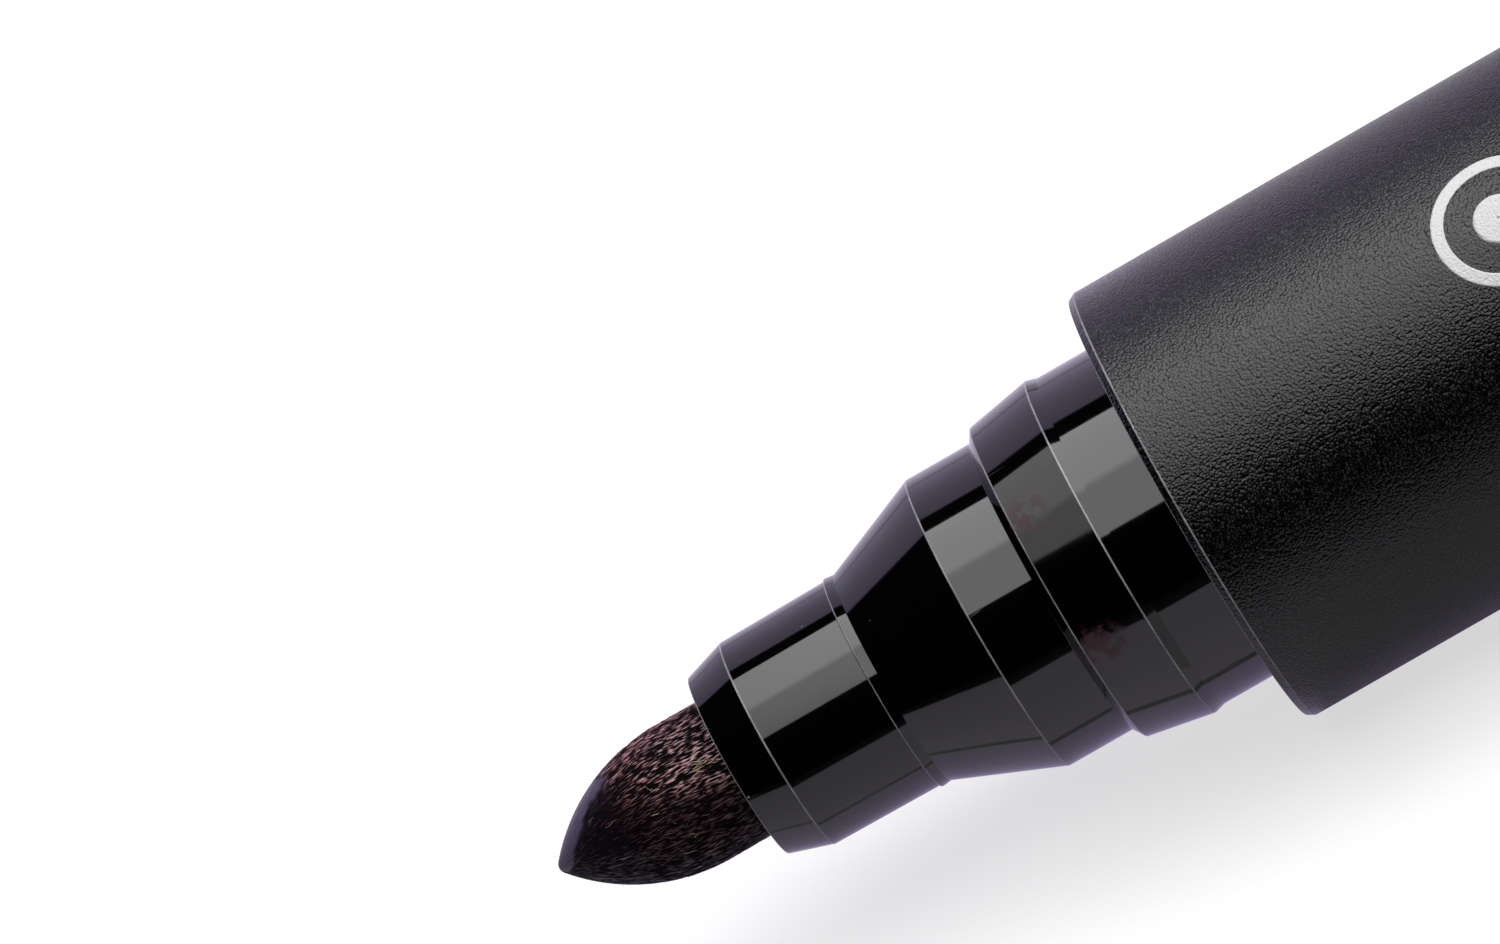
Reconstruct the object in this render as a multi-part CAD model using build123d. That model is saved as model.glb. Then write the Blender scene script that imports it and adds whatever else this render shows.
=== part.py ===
from build123d import *
from math import acos, atan2, cos, degrees, pi, sin, sqrt
import os

# A thick felt-tip marker with a round fibre nib, lying on its side with its cap
# posted on the rear.  All sizes are in millimetres.
#
# The pen's axis is the X axis.  The nib points along -X and the cap is at +X.  The
# origin is on the axis at the middle of the barrel, +Z is up, and the pen lies on
# the plane z = -BARREL_DIAMETER / 2, where the clip stops it from rolling.

# ---- Barrel -----------------------------------------------------------------
BARREL_DIAMETER = 18.0
BARREL_LENGTH = 96.0
BARREL_WALL = 1.35
LIP_LENGTH = 0.30           # the barrel, flange and cap draw in a little at each mouth
LIP_DEPTH = 0.16
HOLD_RIB_COUNT = 6          # ribs inside the barrel that centre the reservoir
HOLD_RIB_WIDTH = 0.9

# ---- Front section, from the barrel's mouth forwards --------------------------
SEAT_INSET = 0.70           # from the barrel's bore down to the plain seat of the cap
SEAT_LENGTH = 2.45
SNAP_HEIGHT = 0.13          # the ring that the cap clicks over stands this far off the seat
SNAP_RAMP = 0.45
COLLAR_TAPER = 0.48         # how much the collar draws in from the ring to its front
COLLAR_LENGTH = 2.63
STEP_HEIGHT = 0.50          # from the shoulder up to the collar, on a steep chamfer
STEP_LENGTH = 0.33
SHOULDER_LENGTH = 2.72
CONE_LENGTH = 4.10
SEAL_RING_TAPER = 0.05      # the sealing ring draws in this much to the foot of the cone
SEAL_RING_LENGTH = 0.42
SEAL_RING_HEIGHT = 0.09     # its front edge stands this far off the land
LAND_TAPER = 0.05
LAND_LENGTH = 4.50
NOZZLE_FLARE = 0.54
NOZZLE_FLARE_LENGTH = 1.70
NOZZLE_FACE = 0.88          # the width of the flat ring round the nib
SECTION_WALL = 1.20
NIB_TUBE_WALL = 1.00        # the inner tube that grips the nib
SKIRT_LENGTH = 12.0         # pressed into the barrel
SKIRT_SETBACK = 0.40        # the skirt starts this far inside the barrel's mouth
SKIRT_WALL = 1.28
SKIRT_EDGE = 0.20

# ---- Nib ----------------------------------------------------------------------
NIB_DIAMETER = 5.74
NIB_PROTRUSION = 7.75
NIB_FLANK_RADIUS = 7.52     # the arc of the bullet-shaped end
NIB_TIP_RADIUS = 0.35
NIB_TAIL_TAPER = 4.0        # the pointed rear end, inside the reservoir
NIB_TAIL_RADIUS = 0.6
NIB_IN_RESERVOIR = 7.0

# ---- Ink reservoir ------------------------------------------------------------
AIR_SPACE = 6.4             # between the reservoir and the end plug
FILM_THICKNESS = 0.10
NIB_TUBE_TO_RESERVOIR = 1.2
VENT_TUBE_DIAMETER = 1.2
VENT_TUBE_BORE = 0.8
VENT_TUBE_OVERHANG = 2.0    # how far it stands out behind the reservoir
VENT_TUBE_TO_FILM = 0.10

# ---- End plug -----------------------------------------------------------------
PLUG_SKIRT_LENGTH = 8.0
PLUG_FLANGE = 1.0
PLUG_WALL = 1.2
STUB_LENGTH = 9.5           # the cap is posted on this stub
STUB_SNAP_SETBACK = 2.4     # from the stub's end to its ring
STUB_SNAP_LENGTH = 0.8
STUB_EDGE = 0.6

# ---- Cap ----------------------------------------------------------------------
CAP_WALL = 1.10
CAP_END_WALL = 1.5
CAP_END_RADIUS = 1.2
CAP_HEADROOM = 7.70         # between the liner's end and the cap's end wall
CAP_STEP = 0.35             # the ledge that stops the liner's flange
GRIP_RIB_COUNT = 12
GRIP_RIB_WIDTH = 0.8
GRIP_RIB_SETBACK = 0.8
LINER_WALL = 0.9
LINER_END_WALL = 0.9
LINER_FLANGE = 0.8
NIB_HEADROOM = 1.1          # between the nib and the liner's end when the pen is capped

# ---- Clip ---------------------------------------------------------------------
CLIP_WIDTH = 4.8
CLIP_THICKNESS = 1.3
CLIP_GAP = 1.2              # between the arm and the cap
CLIP_LENGTH = 29.0          # from the root to the free end
CLIP_EDGE = 0.4
CLIP_STEM = 1.4
CLIP_SETBACK = 2.6          # from the cap's closed end to the root's centre
KNUCKLE_RADIUS = 1.2        # the round root, held in a groove across the cap
KNUCKLE_DEPTH = 0.7         # its centre, below the cap's surface
CLIP_TIP_CLEARANCE = 0.3
CLIP_TIP_RADIUS = 1.0
SEAT_PAD_WIDTH = 7.4        # the thick pad inside the cap, under the groove
SEAT_PAD_LENGTH = 5.4
SEAT_PAD_FLOOR = 0.9

# ---- Clearances ---------------------------------------------------------------
PRESS_GAP = 0.02            # drawn between pieces that are pressed together
SLIDE_GAP = 0.05            # between the cap's ribs and the ring they click over
LINER_GAP = 0.05            # between the liner and the sealing ring
KNUCKLE_GAP = 0.03
SEATED_GAP = 0.05           # between the cap's mouth and the flange
FILLER_GAP = 0.05
SMALL_EDGE = 0.06           # round on the moulded edges

# ---- Places along the pen -----------------------------------------------------
barrel_radius = BARREL_DIAMETER / 2
bore_radius = barrel_radius - BARREL_WALL
mouth_x = -BARREL_LENGTH / 2
tail_x = BARREL_LENGTH / 2

seat_front_x = mouth_x - SEAT_LENGTH
snap_x = seat_front_x - SNAP_RAMP
collar_front_x = snap_x - COLLAR_LENGTH
shoulder_rear_x = collar_front_x - STEP_LENGTH
shoulder_front_x = shoulder_rear_x - SHOULDER_LENGTH
seal_rear_x = shoulder_front_x - CONE_LENGTH
seal_front_x = seal_rear_x - SEAL_RING_LENGTH
land_front_x = seal_front_x - LAND_LENGTH
nozzle_x = land_front_x - NOZZLE_FLARE_LENGTH
nib_tip_x = nozzle_x - NIB_PROTRUSION

plug_front_x = tail_x - PLUG_SKIRT_LENGTH
flange_rear_x = tail_x + PLUG_FLANGE
stub_end_x = flange_rear_x + STUB_LENGTH
cap_mouth_x = flange_rear_x + SEATED_GAP

skirt_front_x = mouth_x + SKIRT_SETBACK
skirt_rear_x = skirt_front_x + SKIRT_LENGTH
reservoir_front_x = skirt_front_x + NIB_TUBE_TO_RESERVOIR
reservoir_rear_x = plug_front_x - AIR_SPACE
nib_tail_x = reservoir_front_x + NIB_IN_RESERVOIR

# The liner is placed by the capped pen, where the cap's mouth meets the barrel's.
liner_depth = mouth_x - seal_rear_x
liner_inside_end = mouth_x - nib_tip_x + NIB_HEADROOM
cap_end_x = cap_mouth_x + liner_inside_end + LINER_END_WALL + CAP_HEADROOM + CAP_END_WALL

# ---- Radii that follow from each other ----------------------------------------
skirt_radius = bore_radius - PRESS_GAP
cavity_radius = skirt_radius - SKIRT_WALL
reservoir_radius = cavity_radius - FILLER_GAP
film_inside = reservoir_radius - FILM_THICKNESS
vent_tube_height = film_inside - VENT_TUBE_TO_FILM - VENT_TUBE_DIAMETER / 2

seat_radius = bore_radius - SEAT_INSET
snap_radius = seat_radius + SNAP_HEIGHT
collar_front_radius = snap_radius - COLLAR_TAPER
shoulder_radius = collar_front_radius - STEP_HEIGHT

nib_bore = NIB_DIAMETER / 2 + PRESS_GAP
nozzle_face_radius = nib_bore + NOZZLE_FACE
land_front_radius = nozzle_face_radius + NOZZLE_FLARE
land_rear_radius = land_front_radius + LAND_TAPER
seal_radius = land_rear_radius + SEAL_RING_HEIGHT
cone_foot_radius = seal_radius - SEAL_RING_TAPER

# The clip is turned until its lower edge meets the surface that the pen lies on.
clip_top = barrel_radius + CLIP_GAP + CLIP_THICKNESS
clip_edge_up = clip_top - CLIP_EDGE
clip_edge_out = CLIP_WIDTH / 2 - CLIP_EDGE
clip_edge_reach = sqrt(clip_edge_up**2 + clip_edge_out**2)
clip_from_down = acos((barrel_radius - CLIP_EDGE) / clip_edge_reach) + atan2(clip_edge_out, clip_edge_up)
CLIP_TURN = 180 - degrees(clip_from_down)


def turned(corners):
    """A solid of revolution about the pen's axis.

    Each corner of the outline is (x, radius, round), where round is the fillet there.
    """
    points = [(x, radius) for x, radius, _ in corners]
    rounds = [corner_round for _, _, corner_round in corners]
    outline = FilletPolyline(*points, radius=rounds, close=True)
    return revolve(make_face(outline), Axis.X, 360)


def tube(inner, outer, start, end):
    """A plain tube on the pen's axis."""
    return turned([(start, inner, 0), (start, outer, 0), (end, outer, 0), (end, inner, 0)])


def rod(radius, start, end, height=0.0):
    """A plain rod along X, lifted off the pen's axis by a height."""
    return Pos((start + end) / 2, 0, height) * Rot(Y=90) * Cylinder(radius, end - start)


def straight_ribs(count, width, inner, outer, start, end):
    """Ribs along the pen's axis, evenly spaced between two radii."""
    slab = Pos((start + end) / 2, 0, outer / 2) * Box(end - start, width, outer)
    slabs = [Rot(X=360 * i / count) * slab for i in range(count)]
    return tube(inner, outer, start, end) & (slabs[0] + slabs[1:])


def make_barrel():
    """The plain tubular casing, with a lip at each end and ribs round the reservoir."""
    lip_radius = barrel_radius - LIP_DEPTH
    shell = turned([
        (mouth_x, bore_radius, 0),
        (mouth_x, lip_radius, SMALL_EDGE),
        (mouth_x + LIP_LENGTH, barrel_radius, SMALL_EDGE),
        (tail_x - LIP_LENGTH, barrel_radius, SMALL_EDGE),
        (tail_x, lip_radius, SMALL_EDGE),
        (tail_x, bore_radius, 0),
    ])
    ribs = straight_ribs(
        HOLD_RIB_COUNT,
        HOLD_RIB_WIDTH,
        reservoir_radius + FILLER_GAP,
        bore_radius + BARREL_WALL / 2,
        skirt_rear_x + SKIRT_SETBACK,
        plug_front_x - SKIRT_SETBACK,
    )
    return shell + ribs


def make_front_section():
    """The stepped front end: nozzle, cone, collar, cap seat and the skirt in the barrel."""
    nib_tube_radius = nib_bore + NIB_TUBE_WALL
    hollow_radius = shoulder_radius - SECTION_WALL
    ledge_radius = seat_radius - SECTION_WALL
    cone_slope = (shoulder_radius - cone_foot_radius) / CONE_LENGTH
    hollow_front_x = shoulder_front_x - (hollow_radius - nib_tube_radius) / cone_slope
    return turned([
        (nozzle_x, nib_bore, 0),
        (nozzle_x, nozzle_face_radius, SMALL_EDGE),
        (land_front_x, land_front_radius, SMALL_EDGE),
        (seal_front_x, land_rear_radius, 0),
        (seal_front_x, seal_radius, SMALL_EDGE),
        (seal_rear_x, cone_foot_radius, 0),
        (shoulder_front_x, shoulder_radius, SMALL_EDGE),
        (shoulder_rear_x, shoulder_radius, 0),
        (collar_front_x, collar_front_radius, SMALL_EDGE),
        (snap_x, snap_radius, SMALL_EDGE),
        (seat_front_x, seat_radius, 0),
        (skirt_front_x, seat_radius, 0),
        (skirt_front_x, skirt_radius, SMALL_EDGE),
        (skirt_rear_x, skirt_radius, SKIRT_EDGE),
        (skirt_rear_x, cavity_radius, 0),
        (skirt_front_x, cavity_radius, 0),
        (skirt_front_x, ledge_radius, 0),
        (snap_x, ledge_radius, 0),
        (shoulder_rear_x, hollow_radius, 0),
        (shoulder_front_x, hollow_radius, 0),
        (hollow_front_x, nib_tube_radius, 0),
        (skirt_front_x, nib_tube_radius, 0),
        (skirt_front_x, nib_bore, 0),
    ])


def make_nib(grown=0.0):
    """The fibre rod: a bullet-shaped end in front, a pointed tail in the reservoir.

    The bullet's flank is an arc tangent to the rod, and a small ball rounds its tip.
    grown enlarges the tail, for cutting its pocket.
    """
    radius = NIB_DIAMETER / 2 + grown
    below_axis = NIB_FLANK_RADIUS - radius
    ball_x = nib_tip_x + NIB_TIP_RADIUS
    to_ball = NIB_FLANK_RADIUS - NIB_TIP_RADIUS
    flank_x = ball_x + sqrt(to_ball**2 - below_axis**2)
    lean = acos(below_axis / to_ball)
    meet = (ball_x - NIB_TIP_RADIUS * sin(lean), NIB_TIP_RADIUS * cos(lean))
    flank_middle = (
        flank_x - NIB_FLANK_RADIUS * sin(lean / 2),
        NIB_FLANK_RADIUS * cos(lean / 2) - below_axis,
    )
    ball_turn = (lean + pi / 2) / 2
    ball_middle = (ball_x - NIB_TIP_RADIUS * sin(ball_turn), NIB_TIP_RADIUS * cos(ball_turn))
    tail_start = (nib_tail_x - NIB_TAIL_TAPER, radius)
    tail_end = (nib_tail_x + grown, NIB_TAIL_RADIUS + grown)
    outline = Curve() + [
        ThreePointArc((nib_tip_x, 0), ball_middle, meet),
        ThreePointArc(meet, flank_middle, (flank_x, radius)),
        Polyline((flank_x, radius), tail_start, tail_end, (tail_end[0], 0), (nib_tip_x, 0)),
    ]
    return revolve(make_face(outline), Axis.X, 360)


def make_reservoir_core():
    """The fibre filler that holds the ink, with the nib's pocket and the vent's channel."""
    core = rod(film_inside - PRESS_GAP, reservoir_front_x, reservoir_rear_x)
    channel = rod(
        VENT_TUBE_DIAMETER / 2 + FILLER_GAP,
        reservoir_front_x - 1,
        reservoir_rear_x + 1,
        vent_tube_height,
    )
    return core - make_nib(FILLER_GAP) - channel


def make_reservoir_film():
    """The thin plastic film wrapped round the filler."""
    return tube(film_inside, reservoir_radius, reservoir_front_x, reservoir_rear_x)


def make_vent_tube():
    """The breather along the top of the filler, which lets air into the barrel's rear."""
    end = reservoir_rear_x + VENT_TUBE_OVERHANG
    outside = rod(VENT_TUBE_DIAMETER / 2, reservoir_front_x, end, vent_tube_height)
    return outside - rod(VENT_TUBE_BORE / 2, reservoir_front_x - 1, end + 1, vent_tube_height)


def make_end_plug():
    """The plug that closes the barrel, with the stub that the cap is posted on."""
    snap_rear = stub_end_x - STUB_SNAP_SETBACK
    snap_front = snap_rear - STUB_SNAP_LENGTH
    inside = seat_radius - PLUG_WALL
    return turned([
        (plug_front_x, inside, 0),
        (plug_front_x, skirt_radius, SKIRT_EDGE),
        (tail_x, skirt_radius, 0),
        (tail_x, barrel_radius - LIP_DEPTH, SMALL_EDGE),
        (tail_x + LIP_LENGTH, barrel_radius, SMALL_EDGE),
        (flange_rear_x - LIP_LENGTH, barrel_radius, SMALL_EDGE),
        (flange_rear_x, barrel_radius - LIP_DEPTH, SMALL_EDGE),
        (flange_rear_x, seat_radius, 0),
        (snap_front, seat_radius, 0),
        (snap_front + STUB_SNAP_LENGTH / 2, snap_radius, SMALL_EDGE),
        (snap_rear, seat_radius, 0),
        (stub_end_x, seat_radius, STUB_EDGE),
        (stub_end_x, 0, 0),
        (stub_end_x - PLUG_WALL, 0, 0),
        (stub_end_x - PLUG_WALL, inside, SKIRT_EDGE),
    ])


def make_cap_shell():
    """The cap's outer shell: grip ribs, the liner's ledge, and the clip's groove."""
    inside = barrel_radius - CAP_WALL
    ledge = inside - CAP_STEP
    rib_end = cap_mouth_x + liner_depth - PRESS_GAP
    ledge_x = rib_end + LINER_FLANGE + 2 * PRESS_GAP
    inside_end = cap_end_x - CAP_END_WALL
    shell = turned([
        (cap_mouth_x, inside, 0),
        (cap_mouth_x, barrel_radius - LIP_DEPTH, SMALL_EDGE),
        (cap_mouth_x + LIP_LENGTH, barrel_radius, SMALL_EDGE),
        (cap_end_x, barrel_radius, CAP_END_RADIUS),
        (cap_end_x, 0, 0),
        (inside_end, 0, 0),
        (inside_end, ledge, CAP_END_RADIUS),
        (ledge_x, ledge, 0),
        (ledge_x, inside, 0),
    ])
    ribs = straight_ribs(
        GRIP_RIB_COUNT,
        GRIP_RIB_WIDTH,
        snap_radius + SLIDE_GAP,
        inside + CAP_WALL / 2,
        cap_mouth_x + GRIP_RIB_SETBACK,
        rib_end,
    )
    return shell + ribs + clip_seat_pad() - clip_groove()


def clip_root():
    """Where the clip's round root is centred, before the cap is turned: x and height."""
    return cap_end_x - CLIP_SETBACK, barrel_radius - KNUCKLE_DEPTH


def clip_seat_pad():
    """The thick pad inside the cap's closed end that the groove is cut in."""
    _, height = clip_root()
    floor = height - KNUCKLE_RADIUS - KNUCKLE_GAP - SEAT_PAD_FLOOR
    end = cap_end_x - CAP_END_WALL / 2
    block = Pos(end - SEAT_PAD_LENGTH / 2, 0, (floor + barrel_radius) / 2) * Box(
        SEAT_PAD_LENGTH, SEAT_PAD_WIDTH, barrel_radius - floor
    )
    within = rod(barrel_radius - CAP_WALL / 2, end - SEAT_PAD_LENGTH, end)
    return Rot(X=CLIP_TURN) * (block & within)


def clip_groove():
    """The round groove across the cap that the clip's root snaps into."""
    x, height = clip_root()
    groove = Rot(X=90) * Cylinder(KNUCKLE_RADIUS + KNUCKLE_GAP, CLIP_WIDTH + 2 * FILLER_GAP)
    return Rot(X=CLIP_TURN) * Pos(x, 0, height) * groove


def make_cap_liner():
    """The inner cap that closes round the nozzle when the pen is capped."""
    bore = seal_radius + LINER_GAP
    outside = bore + LINER_WALL
    flange = barrel_radius - CAP_WALL - PRESS_GAP
    front = cap_mouth_x + liner_depth
    inside_end = cap_mouth_x + liner_inside_end
    end = inside_end + LINER_END_WALL
    return turned([
        (front, bore, SMALL_EDGE),
        (front, flange, SMALL_EDGE),
        (front + LINER_FLANGE, flange, SMALL_EDGE),
        (front + LINER_FLANGE, outside, SKIRT_EDGE),
        (end, outside, LINER_WALL / 2),
        (end, 0, 0),
        (inside_end, 0, 0),
        (inside_end, bore, LINER_WALL / 2),
    ])


def make_cap_clip():
    """The springy arm: round root, stem, arm, and a round tip that grips cloth."""
    x, height = clip_root()
    arm_bottom = barrel_radius + CLIP_GAP
    free_x = x - CLIP_LENGTH
    side = FilletPolyline(
        (x - CLIP_STEM / 2, height),
        (x - CLIP_STEM / 2, arm_bottom),
        (free_x, arm_bottom),
        (free_x, clip_top),
        (x + CLIP_STEM / 2, clip_top),
        (x + CLIP_STEM / 2, height),
        radius=[0, CLIP_THICKNESS / 2, CLIP_EDGE, CLIP_THICKNESS / 2, CLIP_THICKNESS, 0],
        close=True,
    )
    tip_height = barrel_radius + CLIP_TIP_CLEARANCE + CLIP_TIP_RADIUS
    knuckle = Pos(x, height) * Circle(KNUCKLE_RADIUS)
    tip = Pos(free_x + CLIP_TIP_RADIUS, tip_height) * Circle(CLIP_TIP_RADIUS)
    outline = Plane.XZ * (make_face(side) + knuckle + tip)
    arm = extrude(outline, CLIP_WIDTH / 2, both=True)
    section_height = clip_top - height + KNUCKLE_RADIUS
    section = Plane.YZ * Pos(0, clip_top - section_height) * RectangleRounded(
        CLIP_WIDTH, 2 * section_height, CLIP_EDGE
    )
    rounded = Pos(free_x - CLIP_LENGTH / 2) * extrude(section, 2 * CLIP_LENGTH)
    return Rot(X=CLIP_TURN) * (arm & rounded)


PIECES = {
    "barrel": make_barrel,
    "front_section": make_front_section,
    "nib": make_nib,
    "reservoir_core": make_reservoir_core,
    "reservoir_film": make_reservoir_film,
    "vent_tube": make_vent_tube,
    "end_plug": make_end_plug,
    "cap_shell": make_cap_shell,
    "cap_liner": make_cap_liner,
    "cap_clip": make_cap_clip,
}

os.makedirs("parts", exist_ok=True)
for node, make in PIECES.items():
    export_step(make(), os.path.join("parts", node + ".step"))
print("nib tip x", round(nib_tip_x, 3), "cap end x", round(cap_end_x, 3))
print("clip root", clip_root(), "turned", round(CLIP_TURN, 3))
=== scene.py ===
# %% [markdown]
# # A thick felt-tip marker
# The marker lies on a pale floor with its cap posted on the rear.  Its hard facts,
# such as which pieces there are and how the cap slides, are fixed already in a packed
# frame.  This lesson only gives the pieces their looks: fine turned surfaces, a
# fibre nib, two kinds of black plastic, and a soft studio light.
#
# Everything is in metres, with the pen's axis along X, the nib towards -X and +Z up.

# %% Load the fixed frame
import math

import bpy
import numpy as np
from mathutils import Matrix, Vector


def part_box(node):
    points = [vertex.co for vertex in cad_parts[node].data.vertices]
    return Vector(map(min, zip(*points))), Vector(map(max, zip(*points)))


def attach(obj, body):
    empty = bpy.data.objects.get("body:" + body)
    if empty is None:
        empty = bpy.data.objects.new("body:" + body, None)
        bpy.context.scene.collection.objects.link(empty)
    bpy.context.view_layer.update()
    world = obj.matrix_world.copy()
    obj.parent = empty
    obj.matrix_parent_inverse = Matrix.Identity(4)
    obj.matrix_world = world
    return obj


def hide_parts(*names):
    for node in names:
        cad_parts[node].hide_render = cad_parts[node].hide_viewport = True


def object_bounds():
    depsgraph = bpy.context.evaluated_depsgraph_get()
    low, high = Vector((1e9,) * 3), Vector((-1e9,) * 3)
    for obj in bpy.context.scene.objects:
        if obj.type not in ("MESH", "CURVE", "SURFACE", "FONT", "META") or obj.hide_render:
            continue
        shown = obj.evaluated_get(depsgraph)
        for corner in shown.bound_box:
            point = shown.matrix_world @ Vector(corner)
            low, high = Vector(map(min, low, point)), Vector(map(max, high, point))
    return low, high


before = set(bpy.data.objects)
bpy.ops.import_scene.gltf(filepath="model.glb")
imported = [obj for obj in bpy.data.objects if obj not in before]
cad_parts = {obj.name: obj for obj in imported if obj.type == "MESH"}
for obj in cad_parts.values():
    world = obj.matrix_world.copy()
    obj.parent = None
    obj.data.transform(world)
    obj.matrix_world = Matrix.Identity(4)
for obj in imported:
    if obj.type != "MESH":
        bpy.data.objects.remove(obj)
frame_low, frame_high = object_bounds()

MM = 0.001
scene = bpy.context.scene

# %% [markdown]
# ## Where the pieces start and end
# A turned piece needs only stations along the axis and a radius at each.  The ends
# come from the boxes of the fixed pieces, and the steps between them are the widths
# of the real moulding's bands.  They are kept in millimetres, because a moulding is
# measured in millimetres.

# %% Stations along the pen, in millimetres
def span(node):
    """The first and last x of a fixed piece, and its largest radius, in millimetres."""
    low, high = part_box(node)
    return low.x / MM, high.x / MM, high.z / MM


mouth_x, tail_x, barrel_radius = span("barrel")
nozzle_x, skirt_rear_x, skirt_radius = span("front_section")
nib_tip_x, nib_tail_x, nib_radius = span("nib")
floor_z = frame_low.z

FLARE_LENGTH, LAND_LENGTH, RING_LENGTH, CONE_LENGTH = 1.70, 4.50, 0.42, 4.10
SHOULDER_LENGTH, STEP_LENGTH, COLLAR_LENGTH, RAMP_LENGTH = 2.72, 0.33, 2.63, 0.45
land_front_x = nozzle_x + FLARE_LENGTH
ring_x = land_front_x + LAND_LENGTH
cone_x = ring_x + RING_LENGTH
shoulder_x = cone_x + CONE_LENGTH
step_x = shoulder_x + SHOULDER_LENGTH
collar_x = step_x + STEP_LENGTH
snap_x = collar_x + COLLAR_LENGTH
seat_x = snap_x + RAMP_LENGTH
print("nozzle at", round(nozzle_x, 2), "collar at", round(collar_x, 2), "seat at", round(seat_x, 2))

# %% [markdown]
# ## Camera
# The picture is a close view of the writing end, taken from far enough away that the
# pen's sides stay parallel, so the lens is long.  The camera looks down at the floor,
# the rear of the pen leans a few degrees towards it, and the camera is rolled so that
# the pen rises to the right.

# %% Place the camera
LOOK_DOWN = math.radians(38.0)      # from the floor up to the camera
REAR_LEAN = math.radians(5.7)       # how much the pen's rear comes towards the camera
ROLL = math.radians(29.96)          # how steeply the pen rises in the picture
DISTANCE = 0.50
PICTURE_WIDTH = 0.05565             # what the picture spans at the pen
AIM_BEHIND_NOZZLE = 5.83            # millimetres along the pen
AIM_ABOVE_AXIS = 9.24               # millimetres up the picture
SENSOR_WIDTH = 36.0

towards_camera = Vector((
    math.sin(REAR_LEAN),
    -math.cos(REAR_LEAN) * math.cos(LOOK_DOWN),
    math.cos(REAR_LEAN) * math.sin(LOOK_DOWN),
))
along_pen = Vector((1, 0, 0))
along_pen = (along_pen - along_pen.dot(towards_camera) * towards_camera).normalized()
across_pen = towards_camera.cross(along_pen)
picture_right = math.cos(ROLL) * along_pen - math.sin(ROLL) * across_pen
picture_up = math.sin(ROLL) * along_pen + math.cos(ROLL) * across_pen
aim = Vector(((nozzle_x + AIM_BEHIND_NOZZLE) * MM, 0, 0)) + across_pen * AIM_ABOVE_AXIS * MM

camera_data = bpy.data.cameras.new("camera")
camera_data.sensor_width = SENSOR_WIDTH
camera_data.lens = SENSOR_WIDTH * DISTANCE / PICTURE_WIDTH
camera_data.clip_start = 0.05
camera = bpy.data.objects.new("camera", camera_data)
turn = Matrix((picture_right, picture_up, towards_camera)).transposed()
camera.matrix_world = Matrix.Translation(aim + towards_camera * DISTANCE) @ turn.to_4x4()
scene.collection.objects.link(camera)
scene.camera = camera
scene.view_settings.view_transform = "Standard"
print("lens", round(camera_data.lens, 1), "mm")

# %% [markdown]
# ## Helpers for node trees
# Every finish here is a small node tree.  These helpers keep the building of one
# readable: a node is added together with its values and its links, and a material
# starts with a Principled BSDF that is already wired to the output.

# %% Node helpers
def add_node(tree, kind, inputs=None, **settings):
    """A new node with its own settings; each input gets a value or a link from an output."""
    node = tree.nodes.new(kind)
    for name, value in settings.items():
        setattr(node, name, value)
    for name, value in (inputs or {}).items():
        if isinstance(value, bpy.types.NodeSocket):
            tree.links.new(value, node.inputs[name])
        else:
            node.inputs[name].default_value = value
    return node


def use_math(tree, operation, *values):
    """The result of a Math node on the given numbers or outputs."""
    return add_node(tree, "ShaderNodeMath", dict(enumerate(values)), operation=operation).outputs["Value"]


def weighted_sum(tree, *pairs):
    """Adds value * weight over the pairs, and returns the output that holds the sum."""
    total = 0.0
    for value, weight in pairs:
        total = use_math(tree, "MULTIPLY_ADD", value, weight, total)
    return total


def map_range(tree, value, low, high, new_low=0.0, new_high=1.0, **settings):
    """Carries the span low..high over to new_low..new_high, and stops at its ends."""
    inputs = {"Value": value, "From Min": low, "From Max": high, "To Min": new_low, "To Max": new_high}
    return add_node(tree, "ShaderNodeMapRange", inputs, **settings).outputs["Result"]


def mix_colour(tree, amount, first, second, blend="MIX"):
    """Mixes two colours by an amount; a colour is a tuple of three or another node's output."""
    first, second = ((*side, 1) if isinstance(side, tuple) else side for side in (first, second))
    inputs = {"Factor": amount, "A": first, "B": second}
    return add_node(tree, "ShaderNodeMix", inputs, data_type="RGBA", blend_type=blend).outputs["Result"]


def colour_ramp(tree, value, stops, interpolation="LINEAR"):
    """Colours along a number: each stop is (place from 0 to 1, colour)."""
    ramp = add_node(tree, "ShaderNodeValToRGB", {"Fac": value})
    ramp.color_ramp.interpolation = interpolation
    marks = ramp.color_ramp.elements
    while len(marks) < len(stops):
        marks.new(0.5)
    for mark, (at, colour) in zip(marks, stops):
        mark.position = at
        mark.color = (*colour, 1)
    return ramp.outputs["Color"]


def object_place(tree):
    """The place of the shaded point in the piece's own coordinates, in metres."""
    return add_node(tree, "ShaderNodeTexCoord").outputs["Object"]


# %% Material and piece helpers
def new_material(name, **values):
    """A material with a Principled BSDF; values are set on its sockets by their names."""
    material = bpy.data.materials.new(name)
    material.use_nodes = True
    shader = material.node_tree.nodes["Principled BSDF"]
    for socket, value in values.items():
        shader.inputs[socket.replace("_", " ")].default_value = value
    return material, material.node_tree, shader


def connect(tree, shader, **sources):
    """Feeds the shader's sockets, by their names, from other nodes' outputs."""
    for socket, source in sources.items():
        tree.links.new(source, shader.inputs[socket.replace("_", " ")])


def new_piece(name, mesh):
    """An object that shows the mesh, at the origin of the scene."""
    piece = bpy.data.objects.new(name, mesh)
    scene.collection.objects.link(piece)
    return piece


def flat_sheet(name, x, y, z, corners=(0, 1, 2, 3)):
    """A rectangle over the spans x and y at height z; the corners' order says which way it faces."""
    points = [(x[0], y[0], z), (x[1], y[0], z), (x[1], y[1], z), (x[0], y[1], z)]
    mesh = bpy.data.meshes.new(name)
    mesh.from_pydata(points, [], [corners])
    return new_piece(name, mesh)


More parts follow.
